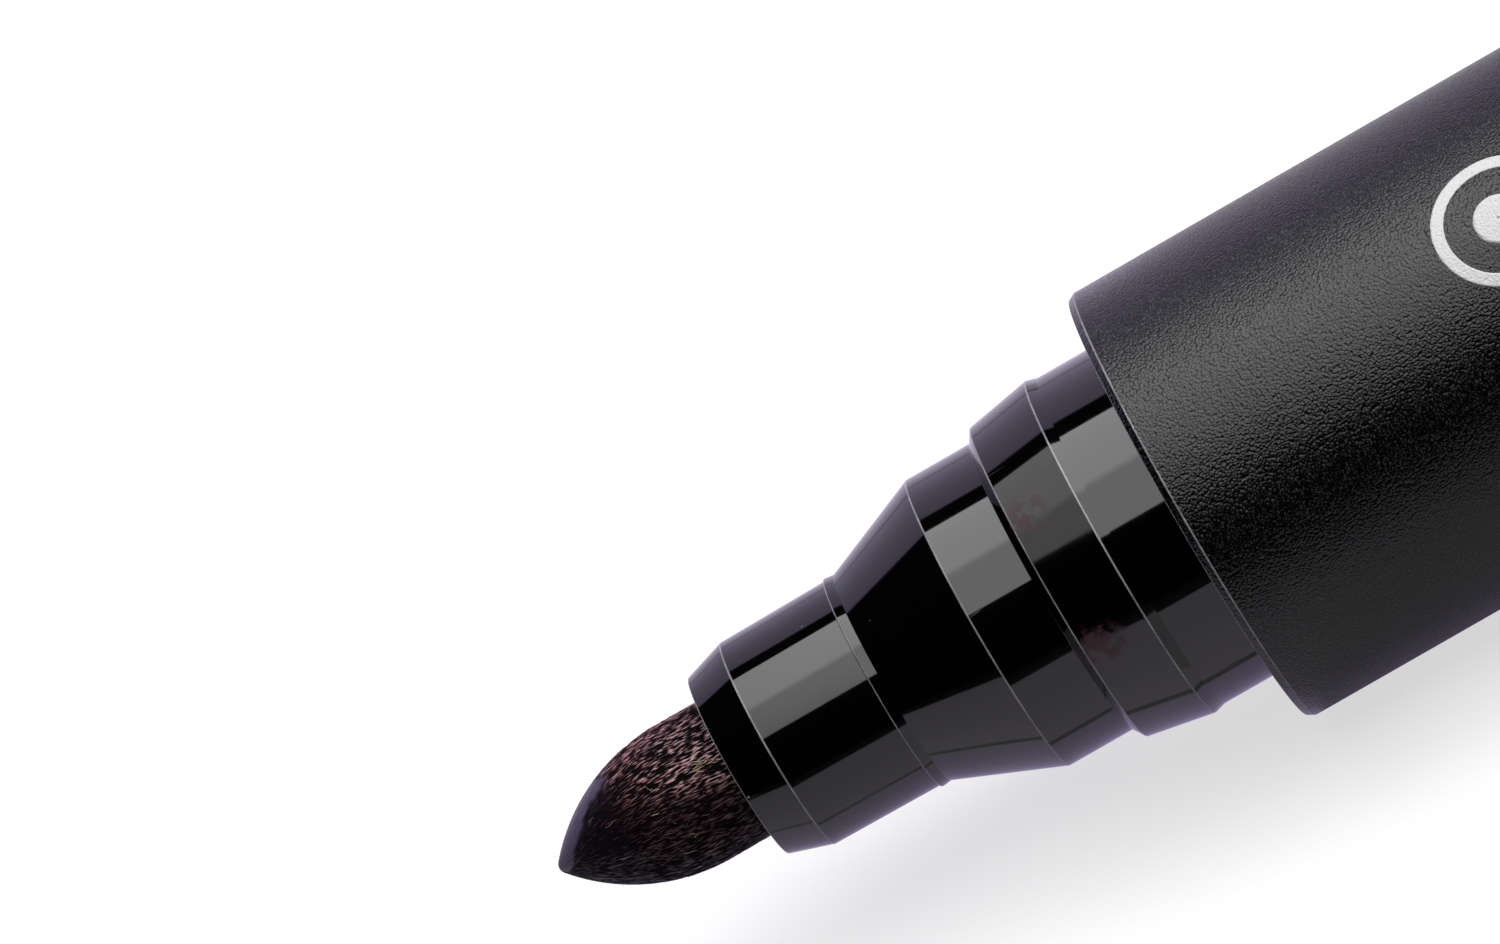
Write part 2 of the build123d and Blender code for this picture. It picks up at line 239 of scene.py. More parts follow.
# %% [markdown]
# ## Floor
# A sheet of white acrylic lit from below is enough.  The lamps above add to its glow, so
# the pen throws a soft light shadow on it.  Further off the glow rises as the lamps'
# share falls, so it is white in every view.  Studios often light a glossy product in
# layers, and so does this one: a mirrored ray meets another floor than the eye does.
# It is dimmer, black past the edge of a card in front, and violet under and behind the pen.
# Under the barrel its glow is cut to a share, a painted shade where the barrel shadows the floor.

# %% Make the floor
FLOOR_HALF = 6.0
FLOOR_SHADE = (0.30, 0.296, 0.30)
GLOW_NEAR, GLOW_FAR = 0.66, 1.02
GLOW_RISES_FROM, GLOW_RISES_TO = 0.15, 0.55
CARD_EDGE, FRONT_EDGE, VIOLET_EDGE = -0.080, -0.0086, -0.0081      # places across the pen
FRONT_GLOW, VIOLET_GLOW = (0.295, 0.258, 0.315), (0.36, 0.30, 0.50)
# painted shade: the share of the mirrored glow left under the barrel
SHADE_UNDER_BARREL = 0.35                                                # share left of the glow
BAND_SPAN = 0.1                                                    # the bands lie this near
HELD_BACK = 0.65                                                   # kept from lighting the pen


def bands(tree, value, low, high, stops):
    """Colours that change in steps: each stop is (place, colour), and low to high is the span."""
    stops = [((at - low) / (high - low), colour) for at, colour in stops]
    return colour_ramp(tree, map_range(tree, value, low, high), stops, "CONSTANT")


def floor_material():
    """White acrylic: its glow to the eye rises with distance, and to a mirrored ray has bands."""
    material, tree, shader = new_material("lit acrylic", Roughness=0.9, Emission_Strength=1.0)
    place = object_place(tree)
    parts = add_node(tree, "ShaderNodeSeparateXYZ", {0: place})
    distance = add_node(tree, "ShaderNodeVectorMath", {0: place}, operation="LENGTH")
    to_eye = map_range(
        tree, distance.outputs["Value"], GLOW_RISES_FROM, GLOW_RISES_TO, GLOW_NEAR, GLOW_FAR,
        interpolation_type="SMOOTHSTEP",
    )
    ray = add_node(tree, "ShaderNodeLightPath")
    held_back = weighted_sum(tree, (ray.outputs["Is Diffuse Ray"], HELD_BACK))

    white, black = (1.0, 1.0, 1.0), (0.0, 0.0, 0.0)
    mirrored = bands(tree, parts.outputs["Y"], -BAND_SPAN, 0.0, [
        (-BAND_SPAN, black), (CARD_EDGE, FRONT_GLOW), (FRONT_EDGE, black), (VIOLET_EDGE, VIOLET_GLOW),
    ])
    # Painted shade: a mirrored ray sees less glow under the barrel, where the barrel shadows the floor.
    barrel_shade = bands(tree, parts.outputs["X"], -BAND_SPAN, BAND_SPAN, [
        (-BAND_SPAN, white), (mouth_x * MM, (SHADE_UNDER_BARREL,) * 3),
    ])
    mirrored = mix_colour(tree, 1.0, mirrored, barrel_shade, blend="MULTIPLY")
    mirrored = mix_colour(tree, held_back, mirrored, black)
    glow = mix_colour(tree, ray.outputs["Is Camera Ray"], mirrored, to_eye)

    shade = [(-BAND_SPAN, black), (CARD_EDGE, FLOOR_SHADE)]
    shade = bands(tree, parts.outputs["Y"], -BAND_SPAN, 0.0, shade)
    shade = mix_colour(tree, held_back, shade, black)
    shade = mix_colour(tree, ray.outputs["Is Camera Ray"], shade, FLOOR_SHADE)
    connect(tree, shader, Emission_Color=glow, Base_Color=shade)
    return material


FLOOR_SPAN = (-FLOOR_HALF, FLOOR_HALF)
floor = flat_sheet("floor", FLOOR_SPAN, FLOOR_SPAN, floor_z)
floor.data.materials.append(floor_material())
print("floor", round(floor_z / MM, 2), "mm from the pen's axis")

# %% [markdown]
# ## Studio light
# Black glossy plastic has hardly any colour of its own: what is seen on it is a mirror
# picture of the studio.  So the lamps are placed by what each band of the pen has to
# reflect.  One wide softbox hangs overhead, brighter behind the pen than in front of
# it, and makes the broad grey stripe.  Behind it is a gap, and behind the gap a pale
# wall, which makes the thin light edge along the top.  The camera's side of the room
# is dark.  The softbox faces down, and neither the camera nor a shadow shows it.

# %% Hang the softbox
BOX_HEIGHT = 0.40
BOX_ALONG = (-0.27, 0.62)               # from past the nib to past the cap
BOX_ACROSS = (-0.336, 0.245)            # from towards the camera to behind the pen
BOX_DIM_UNTIL, BOX_FULL_FROM = -0.15, -0.11
BOX_END_SHARE = 0.45                    # what is left of its light at the nib's end
FRONT_LIGHT, BACK_LIGHT = 3.1, 4.8      # radiance of its two halves
LIGHT_RISES_FROM, LIGHT_RISES_TO = -0.075, -0.030


def softbox_material():
    """A lamp sheet: bright at the back, dimmer in front and at its nib end."""
    material = bpy.data.materials.new("softbox")
    material.use_nodes = True
    tree = material.node_tree
    tree.nodes.clear()
    parts = add_node(tree, "ShaderNodeSeparateXYZ", {0: object_place(tree)})
    depth = map_range(
        tree, parts.outputs["Y"], LIGHT_RISES_FROM, LIGHT_RISES_TO, FRONT_LIGHT, BACK_LIGHT,
        interpolation_type="SMOOTHSTEP",
    )
    end = map_range(
        tree, parts.outputs["X"], BOX_DIM_UNTIL, BOX_FULL_FROM, BOX_END_SHARE,
    )
    lamp = add_node(tree, "ShaderNodeEmission", {"Strength": use_math(tree, "MULTIPLY", depth, end)})
    add_node(tree, "ShaderNodeOutputMaterial", {"Surface": lamp.outputs["Emission"]})
    return material


softbox = flat_sheet("softbox", BOX_ALONG, BOX_ACROSS, BOX_HEIGHT, corners=(3, 2, 1, 0))
softbox.visible_camera = False
softbox.visible_shadow = False
softbox.data.materials.append(softbox_material())
print("softbox", BOX_HEIGHT, "m above the axis")

# %% [markdown]
# The room round the lamps is the world.  Looked at directly it is plain white, so any
# view has a clean background.  In a reflection it is the pale, slightly violet wall
# behind the pen up to half height, and dark everywhere else.

# %% Paint the room
WALL_LIGHT, WALL_BLUR = 0.98, 0.02
WALL_TINT = (0.79, 0.71, 1.0, 1)


def paint_world():
    """White to the eye; to a reflection, a wall where z < y and black elsewhere."""
    world = bpy.data.worlds.new("studio")
    scene.world = world
    world.use_nodes = True
    tree = world.node_tree
    tree.nodes.clear()
    way = add_node(tree, "ShaderNodeTexCoord").outputs["Generated"]
    parts = add_node(tree, "ShaderNodeSeparateXYZ", {0: way})
    below = use_math(tree, "SUBTRACT", parts.outputs["Y"], parts.outputs["Z"])
    wall = map_range(tree, below, -WALL_BLUR, WALL_BLUR, 0.0, WALL_LIGHT)
    room = add_node(tree, "ShaderNodeBackground", {"Color": WALL_TINT, "Strength": wall})
    white = add_node(tree, "ShaderNodeBackground", {"Color": (1, 1, 1, 1), "Strength": 1.0})
    ray = add_node(tree, "ShaderNodeLightPath")
    choose = add_node(tree, "ShaderNodeMixShader", {
        0: ray.outputs["Is Camera Ray"], 1: room.outputs["Background"], 2: white.outputs["Background"],
    })
    add_node(tree, "ShaderNodeOutputWorld", {"Surface": choose.outputs["Shader"]})


paint_world()
print("world", scene.world.name)

# %% [markdown]
# ## Turned surfaces
# The barrel, the front section and the cap are all turned shapes: an outline carried
# round the axis.  A revolved curve or the Screw modifier would do, but both leave the
# shading of the small rounded edges to chance, and those fine bright edge lines are
# what makes a moulding look real.  Here the outline is worked out with its exact
# normals, and both are carried round the axis together.

# %% Outline of a turned piece
ARC_POINTS = 7


def rounded_outline(corners):
    """Points, outward normals and edge values of a closed outline with rounded corners.

    Each corner is (x, radius, width), where width is the length of its arc, so the arc's
    own radius is width / turn.  The arc is tangent to the two straight runs that meet
    there: it starts radius * tan(turn / 2) before the corner, and its normal turns
    evenly from the first run's normal to the second's.  The outward normal is the
    run's direction turned a quarter to the left, so the outline goes from front to
    rear outside and back inside.  The edge value is 1 on an arc that bulges out.
    """
    corners = np.array(corners, float)
    place = corners[:, :2]
    ahead = np.roll(place, -1, axis=0) - place
    ahead /= np.linalg.norm(ahead, axis=1, keepdims=True)
    before = np.roll(ahead, 1, axis=0)
    turning = np.arctan2(
        before[:, 0] * ahead[:, 1] - before[:, 1] * ahead[:, 0], (before * ahead).sum(axis=1)
    )
    round_off = corners[:, 2] / np.abs(turning)
    start = place - before * (round_off * np.tan(np.abs(turning) / 2))[:, None]
    heading = np.arctan2(before[:, 0], -before[:, 1])
    share = np.linspace(0, 1, ARC_POINTS)
    angle = heading[:, None] + turning[:, None] * share
    normal = np.stack([np.cos(angle), np.sin(angle)], axis=2)
    reach = -np.sign(turning) * round_off
    points = start[:, None] + reach[:, None, None] * (normal - normal[:, :1])
    edge = (turning < 0)[:, None] * np.minimum(3 * np.sin(np.pi * share), 1)
    return points.reshape(-1, 2), normal.reshape(-1, 2), edge.ravel()


# %% Mesh from a grid of points
def mesh_from_grid(name, points, ends):
    """A closed mesh from points on a grid of rows along the pen and columns round it.

    Each square joins a point to its neighbours, and the last column joins the first.
    The ends are "joined" when the last row joins the first as well, or have "lids" when
    one flat face closes the first row and another the last.
    """
    rows, columns = points.shape[:2]
    index = np.arange(rows * columns).reshape(rows, columns)
    if ends == "joined":
        index = np.vstack([index, index[:1]])
    beside = np.roll(index, -1, axis=1)
    loops = np.stack([index[:-1], beside[:-1], beside[1:], index[1:]], axis=-1).ravel()
    starts = np.arange(0, loops.size, 4)
    if ends == "lids":
        starts = np.concatenate([starts, [loops.size, loops.size + columns]])
        loops = np.concatenate([loops, index[0][::-1], index[-1]])
    mesh = bpy.data.meshes.new(name)
    mesh.vertices.add(rows * columns)
    mesh.vertices.foreach_set("co", (points * MM).astype(np.float32).ravel())
    mesh.loops.add(len(loops))
    mesh.loops.foreach_set("vertex_index", loops.astype(np.int32))
    mesh.polygons.add(len(starts))
    mesh.polygons.foreach_set("loop_start", starts.astype(np.int32))
    mesh.polygons.foreach_set("use_smooth", np.ones(len(starts), bool))
    mesh.update(calc_edges=True)
    mesh.validate()
    return mesh


def add_point_values(mesh, name, values):
    """Stores one number per point on the mesh, for a material to read by its name."""
    attribute = mesh.attributes.new(name, "FLOAT", "POINT")
    attribute.data.foreach_set("value", values.astype(np.float32).ravel())


# %% Lathe
AROUND = 320


def lathe(name, corners):
    """A turned piece: (x, r) goes to (x, r cos a, r sin a) for angles a round the axis."""
    outline, outward, edge = rounded_outline(corners)
    angle = np.linspace(0, 2 * np.pi, AROUND, endpoint=False)
    ring = np.stack([np.cos(angle), np.sin(angle)], axis=1)

    def carried(profile):
        along = np.broadcast_to(profile[:, :1, None], (len(profile), AROUND, 1))
        return np.concatenate([along, profile[:, 1:, None] * ring[None]], axis=2)

    mesh = mesh_from_grid(name, carried(outline), "joined")
    mesh.normals_split_custom_set_from_vertices(carried(outward).reshape(-1, 3).tolist())
    add_point_values(mesh, "edge", np.repeat(edge, AROUND))
    print(name, len(mesh.polygons), "faces, largest radius", round(float(outline[:, 1].max()), 3), "mm")
    return new_piece(name, mesh)


# %% [markdown]
# ## Barrel
# The barrel is a plain tube.  Its mouth draws in over a short smooth lip, and the
# small round where the lip meets the outside catches one thin line of light.

# %% Make the barrel
EDGE, FINE_EDGE, INNER_CORNER = 0.08, 0.06, 0.03      # lengths of the arcs round edges
LIP_LENGTH, LIP_DEPTH = 0.30, 0.16
BARREL_BORE = skirt_radius + 0.02

lip_radius = barrel_radius - LIP_DEPTH
barrel = lathe("barrel_casing", [
    (mouth_x, BARREL_BORE, EDGE),
    (mouth_x, lip_radius, FINE_EDGE),
    (mouth_x + LIP_LENGTH, barrel_radius, EDGE),
    (tail_x - LIP_LENGTH, barrel_radius, EDGE),
    (tail_x, lip_radius, FINE_EDGE),
    (tail_x, BARREL_BORE, EDGE),
])
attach(barrel, "pen")
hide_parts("barrel")

# %% [markdown]
# ## Front section
# One glossy moulding makes all the steps between the nib and the barrel.  From the
# front: a flat ring round the nib, a flare, the long land that the inner cap slides
# over, a fine sealing ring, a cone, a shoulder, a steep step, the tapered collar that
# ends in the ring that the cap clicks over, and the cap's seat.  Each edge has the
# small round that a steel mould leaves.

# %% Make the front section
NOZZLE_FACE, FLARE, LAND_TAPER, RING_HEIGHT, RING_TAPER = 0.88, 0.54, 0.05, 0.09, 0.05
SEAT_INSET, SNAP_HEIGHT, COLLAR_TAPER, STEP_HEIGHT = 0.70, 0.13, 0.48, 0.50
SKIRT_SETBACK, SKIRT_WALL, SKIRT_EDGE = 0.40, 1.28, 0.20

nib_bore = nib_radius + 0.02
face_radius = nib_bore + NOZZLE_FACE
land_radius = face_radius + FLARE
ring_radius = land_radius + LAND_TAPER + RING_HEIGHT
seat_radius = BARREL_BORE - SEAT_INSET
snap_radius = seat_radius + SNAP_HEIGHT
collar_radius = snap_radius - COLLAR_TAPER
shoulder_radius = collar_radius - STEP_HEIGHT
skirt_front_x = mouth_x + SKIRT_SETBACK
front_section = lathe("front_section_moulding", [
    (nozzle_x, nib_bore, EDGE),
    (nozzle_x, face_radius, EDGE),
    (land_front_x, land_radius, EDGE),
    (ring_x, land_radius + LAND_TAPER, INNER_CORNER),
    (ring_x, ring_radius, EDGE),
    (cone_x, ring_radius - RING_TAPER, INNER_CORNER),
    (shoulder_x, shoulder_radius, EDGE),
    (step_x, shoulder_radius, INNER_CORNER),
    (collar_x, collar_radius, EDGE),
    (snap_x, snap_radius, EDGE),
    (seat_x, seat_radius, INNER_CORNER),
    (skirt_front_x, seat_radius, INNER_CORNER),
    (skirt_front_x, skirt_radius, EDGE),
    (skirt_rear_x, skirt_radius, SKIRT_EDGE),
    (skirt_rear_x, skirt_radius - SKIRT_WALL, EDGE),
    (mouth_x, skirt_radius - SKIRT_WALL, INNER_CORNER),
    (mouth_x, nib_bore, INNER_CORNER),
])
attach(front_section, "pen")
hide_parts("front_section")

# %% [markdown]
# ## Nib
# The nib is a rod of bonded polyester fibres, ground to a bullet shape.  It could be a
# plain turned surface with a bump, but its edge is seen against white, and there a
# real fibre edge is never quite smooth.  So its surface is a fine grid, pressed in
# between the fibres by a noise that is long along the rod and short round it.  The
# last few millimetres are ground, so they are smoother.  Writing has worn one side of
# the tip smoother still, and that patch is painted violet, a painted sheen.  The
# underside is painted darker, a painted shade.  Each of these shares is kept on the
# nib's points, so that the finish can follow it.

# %% Nib outline
FLANK_RADIUS, TIP_RADIUS = 7.52, 0.35
NIB_ROWS, NIB_COLUMNS, DENSE_POINTS = 124, 800, 6000
NIB_INSIDE = 1.2                     # how far the fine surface reaches into the nozzle
TIP_FLAT, LEAST_RADIUS = 0.004, 0.003
GROUND_LENGTH = 4.0                  # from the tip back to where the grinding stops


def bullet_radius(x):
    """The nib's radius at x: a ball at the tip, then an arc tangent to it, then the rod.

    On a circle of radius c about (x0, y0) the radius is y0 + sqrt(c^2 - (x - x0)^2).
    The flank's centre lies below the axis, where both circles share a tangent.
    """
    below = FLANK_RADIUS - nib_radius
    ball_x = nib_tip_x + TIP_RADIUS
    flank_x = ball_x + math.sqrt((FLANK_RADIUS - TIP_RADIUS) ** 2 - below**2)
    meet_x = ball_x - TIP_RADIUS * (flank_x - ball_x) / (FLANK_RADIUS - TIP_RADIUS)
    ball = np.sqrt(np.maximum(TIP_RADIUS**2 - (x - ball_x) ** 2, 0))
    flank = np.sqrt(np.maximum(FLANK_RADIUS**2 - (x - flank_x) ** 2, 0)) - below
    return np.where(x < meet_x, ball, np.where(x < flank_x, flank, nib_radius))


def evenly_along(profile, count):
    """Points at even distances along a polyline: its length, cut into equal shares."""
    step = np.linalg.norm(np.diff(profile, axis=0), axis=1)
    length = np.concatenate([[0], np.cumsum(step)])
    wanted = np.linspace(0, length[-1], count)
    return np.column_stack([np.interp(wanted, length, column) for column in profile.T]), wanted


dense_turn = np.linspace(0, 1, DENSE_POINTS) ** 2
dense_x = nib_tip_x + (nozzle_x + NIB_INSIDE - nib_tip_x) * dense_turn
nib_line, nib_along = evenly_along(np.column_stack([dense_x, bullet_radius(dense_x)]), NIB_ROWS)
nib_line[0, 1] = TIP_FLAT
print("nib line", round(float(nib_along[-1]), 2), "mm long, row every", round(float(nib_along[1]), 3), "mm")

# %% Fibre pattern on the nib
FIBRE_SEED = 7
SINGLE_SHARE, BUNDLE_SHARE = 0.86, 0.14
GROUND_RAGGED, GROUND_BLUR = 0.5, 0.12                # how unevenly the grinding stops


def streaks(rng, shape, spacing, along, across):
    """Noise with long soft streaks, from 0 to 1.

    White noise is blurred by a Gaussian in the frequency domain, where a blur of width
    w multiplies each frequency f by exp(-2 (pi w f)^2), and then spread by its ranks so
    that every value from 0 to 1 is as common.
    """
    row_step, column_step = spacing
    rows = np.fft.fftfreq(shape[0], row_step)[:, None]
    columns = np.fft.rfftfreq(shape[1], column_step)[None]
    keep = np.exp(-2 * (np.pi * along * rows) ** 2 - 2 * (np.pi * across * columns) ** 2)
    soft = np.fft.irfft2(np.fft.rfft2(rng.standard_normal(shape)) * keep, s=shape)
    return np.argsort(np.argsort(soft.ravel())).reshape(shape) / soft.size


def fibre_pattern():
    """Height of the fibres, how ground the surface is, and a ragged noise, on the nib's grid."""
    rng = np.random.default_rng(FIBRE_SEED)
    shape = (NIB_ROWS, NIB_COLUMNS)
    spacing = (nib_along[1], 2 * np.pi * nib_radius / NIB_COLUMNS)
    single = streaks(rng, shape, spacing, along=0.075, across=0.015)
    bundle = streaks(rng, shape, spacing, along=0.40, across=0.090)
    ragged = streaks(rng, shape, spacing, along=0.15, across=0.30)
    edge = GROUND_LENGTH + GROUND_RAGGED * (ragged - 0.5)
    ground = 1 / (1 + np.exp((nib_along[:, None] - edge) / GROUND_BLUR))
    return SINGLE_SHARE * single + BUNDLE_SHARE * bundle, ground, ragged


fibre_height, ground_share, fibre_ragged = fibre_pattern()
print("ground over", round(float(ground_share.mean()), 2), "of the nib's grid")

# %% Worn patch with a painted sheen, and painted shade on the nib's underside
PATCH_MIDDLE, PATCH_EDGE, PATCH_DROP = 105, 90, 52    # of the worn patch, in degrees
PATCH_RAGGED, PATCH_BLUR = 12, 4
PATCH_FROM, PATCH_CLIMB = 0.7, 0.8                    # millimetres behind the tip
# Limits of the painted shade that darkens the nib's underside.
SHADED_BELOW, LIT_ABOVE, SHADE_RISE = 0.32, 0.62, 0.11
CREST_FROM, CREST_TO, CREST_SHEEN = 0.58, 0.96, 0.95
GROUND_DULLS, UNDERSIDE_DULLS = 0.90, 0.60
WORN_SHEEN, WORN_FLAT, WORN_CRESTS = 0.66, 0.6, 0.4


def smooth_step(value, low, high):
    """0 below low, 1 above high, and 3 t^2 - 2 t^3 between them."""
    share = np.clip((value - low) / (high - low), 0, 1)
    return share**2 * (3 - 2 * share)


def nib_sides(angle, ragged):
    """How worn the writing side is, where its painted sheen lies, and how much painted shade darkens the
    underside, on the nib's grid.

    Heights are degrees round the axis, from the camera's side up over the top.  The worn
    patch lies about its middle.  It is wide at the tip, and its edge climbs behind it as
    edge - drop * exp(-(x - from) / climb).  The painted shade covers the nib where
    sin(height) is small, so on its underside, and that limit rises by a fixed amount per
    millimetre towards the tip.
    """
    height = (180 - np.degrees(angle))[None] % 360
    behind_tip = nib_line[:, :1] - nib_tip_x
    patch_edge = PATCH_EDGE - PATCH_DROP * np.exp(-(behind_tip - PATCH_FROM) / PATCH_CLIMB)
    patch_edge = patch_edge + PATCH_RAGGED * (ragged - 0.5)
    inside = PATCH_MIDDLE - patch_edge - np.abs(height - PATCH_MIDDLE)
    # The worn patch is smoother, and its violet colour is a painted sheen.
    worn_and_sheen = smooth_step(inside, -PATCH_BLUR, PATCH_BLUR) * ground_share
    from_nozzle = nozzle_x - nib_line[:, :1]
    # Painted shade: the nib is darker where it faces down, and over more of it towards the tip.
    facing_up = np.sin(np.radians(height)) - SHADE_RISE * from_nozzle
    return worn_and_sheen, 1 - smooth_step(facing_up, SHADED_BELOW, LIT_ABOVE)


def nib_sheen():
    """How much of a film of dry ink shines: on the crests, least where ground, most where worn."""
    crest = smooth_step(fibre_height, CREST_FROM, CREST_TO)
    dull = GROUND_DULLS * ground_share * (1 - underside_shade_share) + UNDERSIDE_DULLS * underside_shade_share
    sheen = crest * (CREST_SHEEN - dull)
    return sheen + (WORN_SHEEN * (WORN_FLAT + WORN_CRESTS * fibre_height) - sheen) * worn_and_sheen_share


nib_angle = np.linspace(0, 2 * np.pi, NIB_COLUMNS, endpoint=False)
worn_and_sheen_share, underside_shade_share = nib_sides(nib_angle, fibre_ragged)
shares = [round(float(share.mean()), 2) for share in (worn_and_sheen_share, underside_shade_share)]
print("worn and soaked over", shares, "of the nib's grid")

# %% Make the nib
FIBRE_DEPTH, GROUND_DEPTH, WORN_DEPTH = 0.060, 0.022, 0.006


def make_nib():
    """The bullet, pressed in between its fibres: r becomes r - depth * (1 - height)."""
    depth = FIBRE_DEPTH + (GROUND_DEPTH - FIBRE_DEPTH) * ground_share
    depth = depth + (WORN_DEPTH - depth) * worn_and_sheen_share
    depth = depth * np.minimum(nib_line[:, 1:] / nib_radius, 1)
    radius = np.maximum(nib_line[:, 1:] - depth * (1 - fibre_height), LEAST_RADIUS)
    along = np.broadcast_to(nib_line[:, :1], radius.shape)
    points = np.stack([along, radius * np.cos(nib_angle), radius * np.sin(nib_angle)], axis=-1)
    points[-1, :, 0] = nib_tail_x
    mesh = mesh_from_grid("fibre_nib", points, "lids")
    stored = {
        "fibre": fibre_height, "ground": ground_share, "worn_and_sheen": worn_and_sheen_share,
        "sheen": nib_sheen(), "underside_shade": underside_shade_share,
    }
    for name, values in stored.items():
        add_point_values(mesh, name, values)
    print("fibre_nib", len(mesh.polygons), "faces")
    return new_piece("fibre_nib", mesh)


nib = make_nib()
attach(nib, "pen")
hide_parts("nib")

# %% [markdown]
# Some fibres have come loose at the surface.  Each is a thin tube bent along the rod,
# with one end lifted by a few hundredths of a millimetre.  A tuft of them, which took
# hardly any ink, stands near the nozzle.

# %% Make the loose fibres
LOOSE_COUNT, LOOSE_STATIONS, LOOSE_SIDES = 420, 8, 5
LOOSE_RADIUS, LOOSE_SUNK = 0.010, 0.016              # sunk below the bullet's outline
LOOSE_FROM_TIP, LOOSE_LENGTH, LOOSE_LIFT = (0.6, 7.2), (0.10, 0.75), (0.0, 0.03)
LOOSE_DRIFT, LOOSE_WAVE = 0.03, 0.012
TUFT_COUNT, TUFT_AHEAD, TUFT_ANGLE = 14, 0.80, math.radians(121)
TUFT_SPREAD, TUFT_TURN = (-0.50, 0.15), 0.16


def make_loose_fibres():
    """Tubes round short lines that follow the nib: start, length, drift and lift vary.

    A point on a line is at x along the nib, lift * (1 - share)^2 above the sunk surface,
    and at an angle that drifts and waves with the share along the fibre.  The tube adds
    a small circle in the outward and sideways directions there, which shrinks at both
    ends and is closed by a small face.
    """
    rng = np.random.default_rng(FIBRE_SEED + 1)
    share = np.linspace(0, 1, LOOSE_STATIONS)[None]
    each, tuft = (LOOSE_COUNT, 1), (TUFT_COUNT, 1)
    start = rng.uniform(*LOOSE_FROM_TIP, each) + nib_tip_x
    length = rng.uniform(*LOOSE_LENGTH, each)
    drift = rng.normal(0, LOOSE_DRIFT, each)
    wave = rng.normal(0, LOOSE_WAVE, each)
    turn = rng.uniform(0, 2 * np.pi, each)
    lift = rng.uniform(*LOOSE_LIFT, each)
    bare = rng.uniform(0, 1, LOOSE_COUNT) ** 6
    start[:TUFT_COUNT] = nozzle_x - TUFT_AHEAD + rng.uniform(*TUFT_SPREAD, tuft)
    turn[:TUFT_COUNT] = TUFT_ANGLE + rng.uniform(-TUFT_TURN, TUFT_TURN, tuft)
    bare[:TUFT_COUNT] = 1.0
    x = start + length * share
    angle = turn + drift * share + wave * np.sin(2 * np.pi * share)
    radius = bullet_radius(x) - LOOSE_SUNK + lift * (1 - share) ** 2
    thick = LOOSE_RADIUS * np.sqrt(np.maximum(1 - (2 * share - 1) ** 2, 0.02))
    side = np.linspace(0, 2 * np.pi, LOOSE_SIDES, endpoint=False)
    out = radius[..., None] + thick[..., None] * np.cos(side)
    across = angle[..., None] + thick[..., None] * np.sin(side) / radius[..., None]
    along = np.broadcast_to(x[..., None], out.shape)
    points = np.stack([along, out * np.cos(across), out * np.sin(across)], axis=-1)
    index = np.arange(LOOSE_COUNT * LOOSE_STATIONS * LOOSE_SIDES)
    index = index.reshape(LOOSE_COUNT, LOOSE_STATIONS, LOOSE_SIDES)
    beside = np.roll(index, -1, axis=2)
    walls = np.stack([index[:, :-1], index[:, 1:], beside[:, 1:], beside[:, :-1]], axis=-1)
    lids = np.concatenate([index[:, 0], index[:, -1, ::-1]])
    mesh = bpy.data.meshes.new("loose_fibres")
    faces = walls.reshape(-1, 4).tolist() + lids.tolist()
    mesh.from_pydata((points.reshape(-1, 3) * MM).tolist(), [], faces)
    mesh.polygons.foreach_set("use_smooth", np.ones(len(mesh.polygons), bool))
    add_point_values(mesh, "bare", np.repeat(bare, LOOSE_STATIONS * LOOSE_SIDES))
    print("loose_fibres", LOOSE_COUNT, "fibres")
    return new_piece("loose_fibres", mesh)


loose_fibres = make_loose_fibres()
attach(loose_fibres, "pen")

# %% [markdown]
# ## Printed mark
# A plain ring with an ink drop in it is printed on the barrel in white.  Printing ink
# has a thickness, so the mark is a very thin shell bent round the barrel, and not a
# colour in the barrel's material.  That keeps its edges sharp at any distance.

# %% Make the printed mark
INK_THICKNESS, INK_ROOT = 0.010, 0.040
PRINT_ROWS, PRINT_POINTS = 9, 120
MARK_BEHIND_MOUTH, MARK_ELEVATION = 15.6, math.radians(62)
RING_OUTSIDE, RING_INSIDE = 2.55, 2.05
DROP_RADIUS, DROP_TIP, DROP_NARROWS = 0.95, 1.55, 0.35
DROP_MIDDLE = 0.004                  # share of the drop's outline that its inner line keeps


def wrap_on_barrel(a, b, lift):
    """Bends flat print onto the barrel: a runs along it and b round it, both in millimetres."""
    radius = barrel_radius + lift
    angle = math.pi - MARK_ELEVATION - b / barrel_radius
    x = mouth_x + MARK_BEHIND_MOUTH + a
    return np.stack([x, radius * np.cos(angle), radius * np.sin(angle)], axis=-1)


def print_shape(name, inner, outer):
    """A film between two closed flat lines: up the inner edge, across the top, and down.

    inner and outer are (points, 2) arrays.  Rows of the grid run from the inner line to
    the outer line on the ink's top, and come back inside the barrel's wall.
    """
    share = np.linspace(0, 1, PRINT_ROWS)
    top = inner[None] + (outer - inner)[None] * share[:, None, None]
    flat = np.concatenate([top, top[::-1]])
    lift = np.repeat([INK_THICKNESS, -INK_ROOT], PRINT_ROWS)[:, None]
    points = wrap_on_barrel(flat[..., 0], flat[..., 1], np.broadcast_to(lift, flat.shape[:2]))
    mesh = mesh_from_grid(name, points, "joined")
    face_row = np.arange(len(mesh.polygons)) // inner.shape[0]
    mesh.polygons.foreach_set("use_smooth", face_row < PRINT_ROWS - 1)
    return new_piece(name, mesh)


